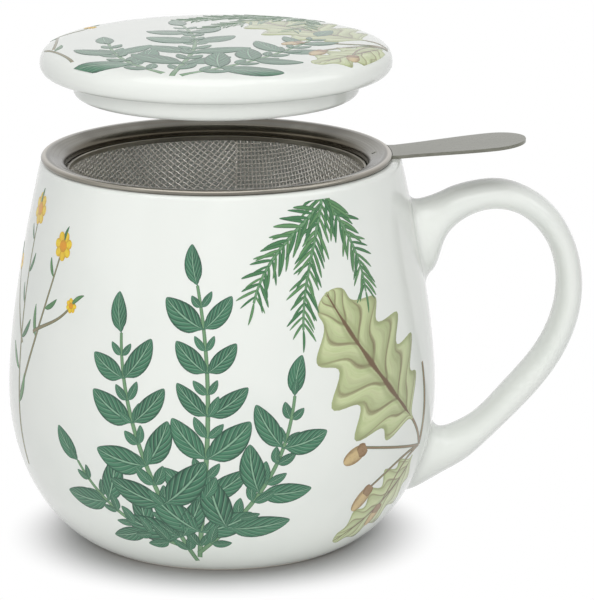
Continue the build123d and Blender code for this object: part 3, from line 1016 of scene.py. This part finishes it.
class Film:
    """Flat motifs of one colouring, gathered before they are laid on the porcelain."""

    def __init__(self):
        self.runs, self.count = [], 0

    def add(self, flat, spot, faces, tone, layer):
        """Points with their place on the motif, tone and layer, and the faces between them."""
        values = (np.broadcast_to(value, len(flat)) for value in (tone, layer))
        self.runs.append((flat, spot, faces + self.count, *values))
        self.count += len(flat)

    def stamp(self, kind, at, angle, size, broad=1.0, tone=0.5, layer=0.5):
        """One motif with its root here, pointing this way (degrees) and this long."""
        points, spot, faces = motif(*MOTIFS[kind])
        self.add(rotated(points * (size, size * broad), math.radians(angle)) + at, spot, faces, tone, layer)

    def stroke(self, guides, first, last, tone=0.5, layer=0.1):
        """A stem along a curve, with these widths at its ends."""
        stations = 36
        self.add(*bordered(cubic(guides, stations), np.linspace(first, last, stations) / 2, 3), tone, layer)

    def grow(self, stems, kind, **inputs):
        """Motifs along these stems."""
        points, spot, faces = motif(*MOTIFS[kind])
        template = bpy.data.meshes.new(kind)
        template.from_pydata([(*p, 0) for p in points], [], faces.tolist())
        carry(template, "spot", spot)
        source = bpy.data.objects.new(kind, template)
        bpy.context.scene.collection.objects.link(source)
        lines, stations = bpy.data.meshes.new("stems"), 60
        flat = np.concatenate([cubic(guides, stations) for guides in stems])
        edges = [(k, k + 1) for k in range(len(flat) - 1) if (k + 1) % stations]
        lines.from_pydata([(*p, 0) for p in flat], edges, [])
        mesh = leafy_stem().run(lines, Motif=source, **inputs)

        def read(data, field, wide=1):
            values = np.empty(len(data) * wide, np.float32)
            data.foreach_get(field, values)
            return values.reshape(-1, wide)

        flat, spot = read(mesh.vertices, "co", 3)[:, :2], read(mesh.attributes["spot"].data, "vector", 3)
        faces = np.array([face.vertices[:] for face in mesh.polygons])
        tone, layer = (read(mesh.attributes[key].data, "value")[:, 0] for key in ("tone", "layer"))
        self.add(flat.astype(float), spot, faces, tone, layer)
        bpy.data.objects.remove(source)

    def lay(self, name, body, wall, ink):
        """One thin printed piece on this wall, cut off cleanly at the print's limits."""
        flat, spot, faces, tone, layer = (np.concatenate(part) for part in zip(*self.runs))
        kept, outside_it = wall.trim(flat)
        faces = faces[~outside_it[faces].all(1)]
        corner = flat[faces]
        twice = np.cross(corner[:, 2] - corner[:, 0], corner[:, 3] - corner[:, 1])
        faces[twice < 0] = faces[twice < 0][:, ::-1]
        used = np.unique(faces)
        index = np.zeros(len(flat), int)
        index[used] = np.arange(len(used))
        border = spot[used, 2]
        lift = (FILM + PILE * layer[used]) * (1 - border) - SUNK * border
        mesh = bpy.data.meshes.new(name)
        mesh.from_pydata(wall.place(kept[used], lift).tolist(), [], index[faces].tolist())
        carry(mesh, "spot", spot[used])
        carry(mesh, "tone", tone[used])
        return dress(name, mesh, body, ink)


class Wall:
    """The mug's outside as a flat sheet: along it from straight ahead, and up along its own curve."""

    def __init__(self, s, front):
        self.belly, self.front = s.belly, front
        self.curve = outside(s, 1200)
        self.run = along(self.curve)
        self.low, below_brim = 0.004, 0.0019
        self.high = np.interp(s.height - below_brim, self.curve[:, 1], self.run)
        step = np.gradient(self.curve, axis=0)
        self.normal = np.stack([step[:, 1], -step[:, 0]], -1) / np.linalg.norm(step, axis=1)[:, None]

    def trim(self, flat):
        """The points brought inside the print's limits, and which of them were outside."""
        up = np.clip(flat[:, 1], self.low, self.high)
        return np.stack([flat[:, 0], up], -1), up != flat[:, 1]

    def place(self, flat, lift):
        """The points in space, lifted off the wall."""
        angle = self.front + flat[:, 0] / self.belly
        r, z, out, rise = (np.interp(flat[:, 1], self.run, a) for a in (*self.curve.T, *self.normal.T))
        r, z = r + out * lift, z + rise * lift
        return np.stack([r * np.cos(angle), r * np.sin(angle), z], -1)


class Crown:
    """The lid's top as a flat sheet, its second axis away from straight ahead."""

    def __init__(self, s, plane, shift, front):
        self.curve, self.shift, self.turn = lid_crown(s, plane, 300), shift, front + math.pi / 2
        bare_edge = 0.0011
        self.limit = s.edge - bare_edge

    def trim(self, flat):
        """The points brought inside the print's limit, and which of them were outside."""
        radius = np.linalg.norm(flat, axis=1)
        return flat * np.minimum(1, self.limit / np.maximum(radius, 1e-9))[:, None], radius > self.limit

    def place(self, flat, lift):
        """The points in space, lifted off the lid."""
        over_slope = 1.3
        height = np.interp(np.linalg.norm(flat, axis=1), self.curve[:, 0], self.curve[:, 1])
        return np.column_stack([rotated(flat, self.turn) + (self.shift, 0), height + lift * over_slope])


class Pen:
    """Where a group is drawn: its root in millimetres, its turn in degrees, its size, whether mirrored."""

    def __init__(self, at, turn=0.0, size=1.0, flip=False):
        self.at, self.turn = np.array(at, float) / 1000, math.radians(turn)
        self.size, self.flip = size, flip

    def points(self, *places):
        """Places given from the group's root, in millimetres, on the sheet."""
        way = -1 if self.flip else 1
        return rotated(np.array(places, float) / 1000 * self.size * (way, 1), self.turn) + self.at

    def angle(self, degrees):
        """A direction given in the group, on the sheet."""
        return math.degrees(self.turn) + (180 - degrees if self.flip else degrees)

    def length(self, millimetres):
        """A length given in the group, on the sheet."""
        return millimetres / 1000 * self.size


# Stems, as four guide points each in millimetres from their group's root.
SPRAY = (((0, 0), (-6, 22), (-16, 40), (-17, 60)), ((1, 2), (4, 24), (7, 48), (2, 72)),
         ((1, 4), (12, 16), (22, 26), (25, 46)), ((-2, 6), (-12, 10), (-22, 16), (-29, 28)))
LID_SPRAY = (((0, 0), (4, 18), (8, 30), (2, 56)), ((2, 0), (16, 8), (26, 20), (34, 42)),
             ((-2, 2), (-8, 8), (-14, 18), (-15, 34)))
GOLD_STEMS = (((0, 0), (2, 18), (-4, 40), (-1, 62)), ((1, 18), (6, 28), (10, 38), (15, 56)),
              ((0, 30), (-5, 36), (-9, 42), (-12, 47)), ((6, 34), (11, 37), (17, 38), (21, 43)))
TWIG_STEMS = (((0, 0), (1, 9), (5, 17), (4, 27)), ((1, 5), (7, 10), (13, 15), (14, 23)),
              ((0, 3), (-5, 9), (-9, 13), (-10, 20)))
BLOOMS = (((-1, 62), 3.9), ((15, 56), 3.5), ((-12, 47), 2.0), ((21, 43), 1.8))    # place, petal length
NUTS = (((-24, 5), 205, 6.5), ((-20, -6), 235, 7.0), ((-13, -13), 260, 6.2))      # place, direction, length
PETALS = 7


class Herbal:
    """Films of each colouring and the groups that draw on them."""

    def __init__(self):
        self.leaf, self.pale, self.needle, self.stem, self.bloom, self.wood = (Film() for _ in range(6))

    def stems(self, pen, group, first, last, tone):
        """The group's stems, drawn and returned."""
        lines = [pen.points(*guides) for guides in group]
        for guides in lines:
            self.stem.stroke(guides, pen.length(first), pen.length(last), tone)
        return lines

    def laurel(self, pen, guides, seed):
        """A dark sprig with smooth leaves in pairs and small ones between them."""
        lines = self.stems(pen, [guides], 1.4, 0.7, 0.3)
        for share, part, lean, draw in ((1.0, 1.0, 0.92, 0), (0.5, 0.42, 0.60, 50)):
            self.leaf.grow(lines, "lance", Spacing=pen.length(10 * share), Low_Length=pen.length(15.5 * part),
                           High_Length=pen.length(9.5 * part), Lean=lean, Bare=1, Pairs=True,
                           Seed=seed + draw)

    def gold(self, pen, seed):
        """Thin stems with slim leaves, yellow blooms and buds."""
        self.needle.grow(self.stems(pen, GOLD_STEMS, 0.9, 0.5, 0.7), "slim", Spacing=pen.length(7.5),
                         Low_Length=pen.length(8.5), High_Length=pen.length(5), Lean=0.6, Bare=2, Seed=seed)
        for k, (at, size) in enumerate(BLOOMS):
            centre = pen.points(at)[0]
            for n in range(PETALS):
                self.bloom.stamp("petal", centre, n * 360 / PETALS + 17 * k, pen.length(size),
                                 tone=0.25 + 0.08 * (n % 3), layer=0.3 + 0.08 * n)
            eye = pen.length(0.84 * size)
            self.bloom.stamp("disc", centre + (-eye / 2, 0), 0, eye, tone=0.9, layer=1.0)

    def twig(self, pen, seed):
        """Thin twigs close set with needles."""
        self.needle.grow(self.stems(pen, TWIG_STEMS, 0.8, 0.4, 0.1), "needle", Spacing=pen.length(1.15),
                         Low_Length=pen.length(5.8), High_Length=pen.length(4), Lean=0.62, Bare=1, Pairs=True,
                         Seed=seed)

    def oak(self, pen):
        """A large pale lobed leaf, a smaller dark one, and nuts on thin stalks."""
        root = (0, 0)
        self.stem.stroke(pen.points(root, (-2, 4), (-4, 6), (-7, 9)), 0.0010, 0.0008, 0.9)
        for at, angle, size, *look in (
                ((-6, 8), 128, 44, -1 if pen.flip else 1, 0.2, 0.2), ((-3, -2), 222, 30, 0.85, 0.95, 0.6)):
            self.pale.stamp("lobed", pen.points(at)[0], pen.angle(angle), pen.length(size), *look)
        self.stem.stroke(pen.points(root, (1, 6), (2, 12), (1, 20)), 0.0016, 0.0011, 1.0)
        for k, (tip, angle, size) in enumerate(NUTS):
            stalk = pen.points(root, (-6, 1 - k), (-10, 2 - 2 * k), tip)
            self.stem.stroke(stalk, 0.0007, 0.0006, 0.85, 0.75)
            ahead = 0.3 * np.array([math.cos(math.radians(angle)), math.sin(math.radians(angle))])
            for kind, at, long, *look in (
                    ("nut", tip + ahead, size, 1.0, 0.15, 0.8), ("cap", tip - ahead, 2.7, 1.05, 0.85, 0.95)):
                self.wood.stamp(kind, pen.points(at)[0], pen.angle(angle), pen.length(long), *look)

    def lay(self, place, body, wall):
        """One piece of each colouring on this wall."""
        for kind, ink in inks(place).items():
            film = getattr(self, kind)
            if film.count:
                film.lay(f"{place}_{kind}_print", body, wall, ink)


# ---------------------------------------------------------------- inks


def drawn(f):
    """Place along and across the motif, and its tone."""
    x, y, _ = f.node("ShaderNodeAttribute", {"attribute_name": "spot"}, out="Vector").part()
    return x, y, f.node("ShaderNodeAttribute", {"attribute_name": "tone"}, out="Fac")


def leaf_ink(name, dark, middle, light, rib, veins=9.0, slant=0.30, depth=1.0):
    """Engraved leaf: side veins that sweep to the tip, a shadow by each, fine hatching, a dark margin."""
    f = Finish(name)
    x, y, tone = drawn(f)
    side = abs(y)
    phase = (x - side * slant) * veins + 20.0
    cell = phase.math("FRACT")
    vein = 1 - (0.5 - abs(cell - 0.5)).step(0.03, 0.13)
    hatch = f.noise(f.node("ShaderNodeCombineXYZ", {}, phase * 5.0, side * 1.6, tone * 40.0), 1.0, 3.0, 0.65)
    upper = y.step(-0.05, 0.05)
    shade = (1 - cell.step(0.02, 0.80)) * 0.75 + hatch.step(0.40, 0.66) * 0.55 - upper * 0.22 - tone * 0.30
    shade = (shade * depth).math("MAXIMUM", 0.0).math("MINIMUM", 1.0)
    ink = f.mix(shade, f.mix(hatch.step(0.3, 0.7), middle, light), dark)
    ink = f.mix(vein * (0.75 - side * 0.35), ink, rib)
    ink = f.mix(side.step(0.04, 0.10) * (1 - side.step(0.10, 0.22)) * 0.55, ink, dark)
    ink = f.mix(1 - side.step(0.03, 0.075), ink, rib)
    ink = f.mix(side.step(0.80, 0.97) * 0.7, ink, dark)
    return glossy(f, ink)


def line_ink(name, edge, middle, other):
    """Stem, petal or nut: darker along both borders, streaked, its tone between two colours."""
    f = Finish(name)
    x, y, tone = drawn(f)
    streak = f.noise(f.node("ShaderNodeCombineXYZ", {}, x * 9.0, y * 3.0, tone * 30.0), 1.0, 3.0, 0.6)
    ink = f.mix(tone.step(0.2, 0.9), middle, other)
    ink = f.mix(abs(y).step(0.35, 1.0) * 0.65 + streak.step(0.45, 0.75) * 0.35, ink, edge)
    return glossy(f, ink)


def glossy(f, ink):
    """The film lies under the same clear glaze."""
    return f.set(Base_Color=ink, Roughness=0.10, IOR=1.5)


def inks(place):
    """One finish for each film of one wall."""
    return {
        "stem": line_ink(place + "_stem_ink", (0.06, 0.14, 0.06), (0.16, 0.33, 0.17), (0.30, 0.20, 0.12)),
        "leaf": leaf_ink(place + "_leaf_ink", (0.010, 0.046, 0.030), (0.036, 0.155, 0.088),
                         (0.085, 0.27, 0.15), (0.24, 0.43, 0.29)),
        "pale": leaf_ink(place + "_pale_ink", (0.30, 0.34, 0.16), (0.50, 0.58, 0.30),
                         (0.66, 0.71, 0.42), (0.16, 0.10, 0.05), veins=10.0, slant=0.16, depth=0.75),
        "needle": line_ink(place + "_needle_ink", (0.02, 0.075, 0.03), (0.06, 0.20, 0.08),
                           (0.13, 0.30, 0.12)),
        "bloom": line_ink(place + "_bloom_ink", (0.55, 0.30, 0.01), (0.86, 0.64, 0.03), (0.75, 0.32, 0.01)),
        "wood": line_ink(place + "_nut_ink", (0.20, 0.12, 0.05), (0.62, 0.47, 0.24), (0.33, 0.21, 0.11)),
    }


# ---------------------------------------------------------------- operators


def straight_ahead(context):
    """Direction from the mug's axis to the viewer."""
    return -math.pi / 2 - context.scene.stage.around


def lid_plane(s):
    """Height of the lid's widest place."""
    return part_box("lid")[1].z - s.crown


AROUND = 224       # faces round each turned piece
IN_WALL = 0.002    # how far the handle's closed ends reach into the wall


class MUG_OT_body(bpy.types.Operator):
    """Cast body with its foot ring, turned brim and glaze"""

    bl_idname = "mug.body"
    bl_label = "Mug Body"

    def execute(self, context):
        s = context.scene.porcelain
        points, faces = turned(body_profile(s), AROUND)
        piece("glazed_body", points, faces, "mug", glazed(s, "body_glaze", foot=True), ("mug_body",))
        return {"FINISHED"}


class MUG_OT_handle(bpy.types.Operator):
    """Ear handle whose roots run out on the wall"""

    bl_idname = "mug.handle"
    bl_label = "Handle"

    def execute(self, context):
        s = context.scene.porcelain
        lines = handle_lines(s)
        around, count = lines.shape[:2]
        points = list(lines.reshape(-1, 3))
        starts = [(k * count, (k + 1) % around * count) for k in range(around)]
        faces = [(a + i, a + i + 1, b + i + 1, b + i) for a, b in starts for i in range(count - 1)]
        for end in (0, count - 1):
            points.append(lines[:, end].mean(0) - (IN_WALL, 0, 0))
            faces += [(a + end, b + end, len(points) - 1) for a, b in starts]
        glaze = glazed(s, "handle_glaze")
        made = piece("glazed_handle", points, faces, "mug", glaze, ("mug_handle",), sharp=60)
        run_out(s, made.data)
        return {"FINISHED"}


class MUG_OT_lid(bpy.types.Operator):
    """Lid with a low dome, a rounded edge and a hollow locating ring"""

    bl_idname = "mug.lid"
    bl_label = "Lid"

    def execute(self, context):
        s, shift = context.scene.lid, context.scene.infuser.shift
        points, faces = turned(lid_profile(s, lid_plane(s)), AROUND, shift)
        glaze = glazed(context.scene.porcelain, "lid_glaze")
        piece("glazed_lid", points, faces, "lid", glaze, ("lid",))
        return {"FINISHED"}


class MUG_OT_rim(bpy.types.Operator):
    """Spun steel rim: dished flange, hem with a gap for the tab, and collar, and the hoop inside it"""

    bl_idname = "mug.rim"
    bl_label = "Infuser Rim"

    def execute(self, context):
        s, brim = context.scene.infuser, context.scene.porcelain.height
        profile, top, steps, near = rim_profile(s, brim), flange_top(s, brim), 13, 0.0001
        gap = math.asin(s.hem_gap / s.flange)
        angles = np.concatenate([np.linspace(-gap, gap, steps), np.linspace(gap, 2 * math.pi - gap, 216)])
        points, faces = turned(profile, angles, s.shift)
        points = points.reshape(len(profile), len(angles), 3)
        hem = profile[:, 0] > s.flange - s.hem - near
        points[hem, :steps, 2] = np.maximum(points[hem, :steps, 2], top - s.sheet)
        steel = spun(s, "rim_steel_spun", tuple(s.steel), top=top)
        piece("spun_rim", points.reshape(-1, 3), faces, "infuser", steel, ("infuser_rim",), 50)
        points, faces = turned(hoop_profile(s, top - s.collar_depth), AROUND, s.shift)
        steel = spun(s, "hoop_steel_spun", times(s.steel, 2.2), dull=0.32, coarse=0.6)
        piece("clamping_hoop", points, faces, "infuser", steel, ("mesh_retaining_hoop",))
        return {"FINISHED"}


class MUG_OT_cloth(bpy.types.Operator):
    """Bowl of woven wire cloth, each wire of it over and under the others"""

    bl_idname = "mug.cloth"
    bl_label = "Woven Bowl"

    def execute(self, context):
        s, brim = context.scene.infuser, context.scene.porcelain.height
        net, outward = draped(s, flange_top(s, brim) - s.collar_depth)
        for across, name in enumerate(("warp", "weft")):
            for part in (1, 2):
                lines = wires(net, outward, across, part == 1, s.shift)
                finish = wire_finish(f"{name}_wire_{part}", s.cloth)
                mesh = crimped_wire().run(lines, Wire=s.wire, Crimp=s.wire / 2, Finish=finish)
                dress(f"{name}_wires_{part}", mesh, "infuser", finish, ("mesh_basket",), 75)
        return {"FINISHED"}


class MUG_OT_tab(bpy.types.Operator):
    """Lifting tab of strip steel, level under the flange and bent up beyond it, with its spot weld"""

    bl_idname = "mug.tab"
    bl_label = "Lifting Tab"

    def execute(self, context):
        s = context.scene.infuser
        for node in ("infuser_handle", "infuser_spot_weld"):
            materials = frame["nodes"][node].data.materials
            materials.clear()
            materials.append(brushed(node + "_steel", s.strip))
        return {"FINISHED"}


# the print's copies: how far along the wall, in millimetres, and whether mirrored
COPIES = ((0, False), (158, True))


class MUG_OT_herbal(bpy.types.Operator):
    """Printed herbs all round the mug, clear of the handle's roots"""

    bl_idname = "mug.herbal"
    bl_label = "Mug Print"

    def execute(self, context):
        herbs = Herbal()
        for shift, flip in COPIES:
            way = -1 if flip else 1
            for k, guides in enumerate(SPRAY):
                herbs.laurel(Pen((shift - 8 * way, 9), flip=flip), guides, 11 * k + shift)
            herbs.gold(Pen((shift - 62 * way, 30), flip=flip), shift + 3)
            herbs.twig(Pen((shift + 30 * way, 104), 172, 1.3, flip), shift + 5)
            herbs.oak(Pen((shift + 60 * way, 35), flip=flip))
        herbs.lay("mug", "mug", Wall(context.scene.porcelain, straight_ahead(context)))
        return {"FINISHED"}


class MUG_OT_lid_herbal(bpy.types.Operator):
    """Printed herbs on the lid's top"""

    bl_idname = "mug.lid_herbal"
    bl_label = "Lid Print"

    def execute(self, context):
        s, herbs = context.scene.lid, Herbal()
        for k, guides in enumerate(LID_SPRAY):
            herbs.laurel(Pen((-10, -37)), guides, 4 + 9 * k)
        herbs.gold(Pen((-33, -20), 22, 0.85), 6)
        herbs.oak(Pen((41, -4), 8, 0.85))
        herbs.twig(Pen((24, 37), 140, 1.2), 2)
        crown = Crown(s, lid_plane(s), context.scene.infuser.shift, straight_ahead(context))
        herbs.lay("lid", "lid", crown)
        return {"FINISHED"}


WIDTH, FOCUS = 594, 4190.0       # the view's width and the lens's focal length, both in pixels
AIM = 75, 31                     # middle of the view from the mug's own middle, in pixels right and up
MIDDLE = Vector((0, 0, 0.05))    # the mug's middle, which the lamps and the camera are turned to
SHADOW = 0.032, 0.053            # radii between which the table's shadow runs out into white


def looking(back, roll):
    """The camera's right, up and ahead for a view from this way, rolled and aimed off the middle."""
    right = (-back).cross(Vector((0, 0, 1))).normalized()
    up = right.cross(-back)
    right, up = right * math.cos(roll) + up * math.sin(roll), up * math.cos(roll) - right * math.sin(roll)
    ahead = (right * (AIM[0] / FOCUS) + up * (AIM[1] / FOCUS) - back).normalized()
    right = (right - ahead * right.dot(ahead)).normalized()
    return right, right.cross(ahead), ahead


class MUG_OT_stage(bpy.types.Operator):
    """White table, soft lamps and the camera"""

    bl_idname = "mug.stage"
    bl_label = "Stage"

    def execute(self, context):
        s, scene = context.scene.stage, context.scene
        mesh, half = bpy.data.meshes.new("table_top"), 3
        mesh.from_pydata([(-half, -half, 0), (half, -half, 0), (half, half, 0), (-half, half, 0)], [],
                         [(0, 1, 2, 3)])
        table = bpy.data.objects.new("table_top", mesh)
        scene.collection.objects.link(table)
        f = Finish("white_table")
        seen = f.seen()
        x, y, _ = f.place().part()
        beyond_foot = ((x * x + y * y) ** 0.5).step(*SHADOW)
        # painted shadow: inside these radii the camera sees the table at 0.6 of its colour, deepening the
        # shadow round the foot
        shade = f.node("ShaderNodeBsdfDiffuse", {}, f.mix(seen, tuple(s.floor), times(s.floor, 0.6)))
        white = f.node("ShaderNodeEmission", {}, (1, 1, 1, 1), 1.0)
        white_table = f.end(f.node("ShaderNodeMixShader", {}, seen * beyond_foot, shade, white))
        table.data.materials.append(white_table)

        f = Finish("studio", bpy.data.worlds)
        dim, white = (f.node("ShaderNodeBackground", {}, (1, 1, 1, 1), strength) for strength in (s.sky, 1.0))
        scene.world = f.end(f.node("ShaderNodeMixShader", {}, f.seen(), dim, white))

        for name, spot, size, watts in (
                ("overhead", (-0.1, -0.15, 0.95), 0.9, s.key), ("front", (-0.15, -1.55, 0.56), 0.5, s.front),
                ("left", (-0.9, -0.35, 0.45), 0.7, s.left), ("right", (0.75, -0.2, 0.80), 0.6, s.right)):
            lamp = bpy.data.lights.new(name, "AREA")
            lamp.shape, lamp.size, lamp.energy = "SQUARE", size, watts
            made = bpy.data.objects.new(name, lamp)
            scene.collection.objects.link(made)
            made.location, made.visible_camera, made.visible_glossy = spot, False, name != "front"
            made.rotation_euler = (MIDDLE - Vector(spot)).to_track_quat("-Z", "Y").to_euler()

        level = math.cos(s.elevation)
        back = Vector((-math.sin(s.around) * level, -math.cos(s.around) * level, math.sin(s.elevation)))
        right, up, ahead = looking(back, s.roll)
        lens = bpy.data.cameras.new("view")
        lens.sensor_fit, lens.clip_start = "HORIZONTAL", 0.05
        lens.lens = FOCUS / WIDTH * lens.sensor_width
        view = bpy.data.objects.new("view", lens)
        scene.collection.objects.link(view)
        view.matrix_world = Matrix((right, up, -ahead)).transposed().to_4x4()
        view.location = MIDDLE + back * s.distance
        scene.camera = view
        scene.view_settings.view_transform = "Standard"
        return {"FINISHED"}


class MUG_PT_pieces(bpy.types.Panel):
    """Lists the mug's pieces and the sizes they take"""

    bl_idname = "MUG_PT_pieces"
    bl_label = "Tea Mug"
    bl_space_type = "VIEW_3D"
    bl_region_type = "UI"
    bl_category = "Tea Mug"

    def draw(self, context):
        for name, group in PROPERTY_HOLDERS.items():
            box = self.layout.box()
            for key in group.__annotations__:
                box.prop(getattr(context.scene, name), key)
        for operator in OPERATORS:
            self.layout.operator(operator.bl_idname)


PROPERTY_HOLDERS = {"porcelain": PorcelainSizes, "lid": LidSizes, "infuser": InfuserSizes,
                    "stage": StageSettings}
OPERATORS = (MUG_OT_body, MUG_OT_handle, MUG_OT_lid, MUG_OT_rim, MUG_OT_cloth, MUG_OT_tab, MUG_OT_herbal,
             MUG_OT_lid_herbal, MUG_OT_stage)


def register():
    for made in (*PROPERTY_HOLDERS.values(), *OPERATORS, MUG_PT_pieces):
        bpy.utils.register_class(made)
    for name, group in PROPERTY_HOLDERS.items():
        setattr(bpy.types.Scene, name, PointerProperty(type=group))


def unregister():
    for name in PROPERTY_HOLDERS:
        delattr(bpy.types.Scene, name)
    for made in (MUG_PT_pieces, *OPERATORS, *PROPERTY_HOLDERS.values()):
        bpy.utils.unregister_class(made)


def main():
    register()
    for operator in OPERATORS:
        group, name = operator.bl_idname.split(".")
        getattr(getattr(bpy.ops, group), name)()


if __name__ == "__main__":
    main()
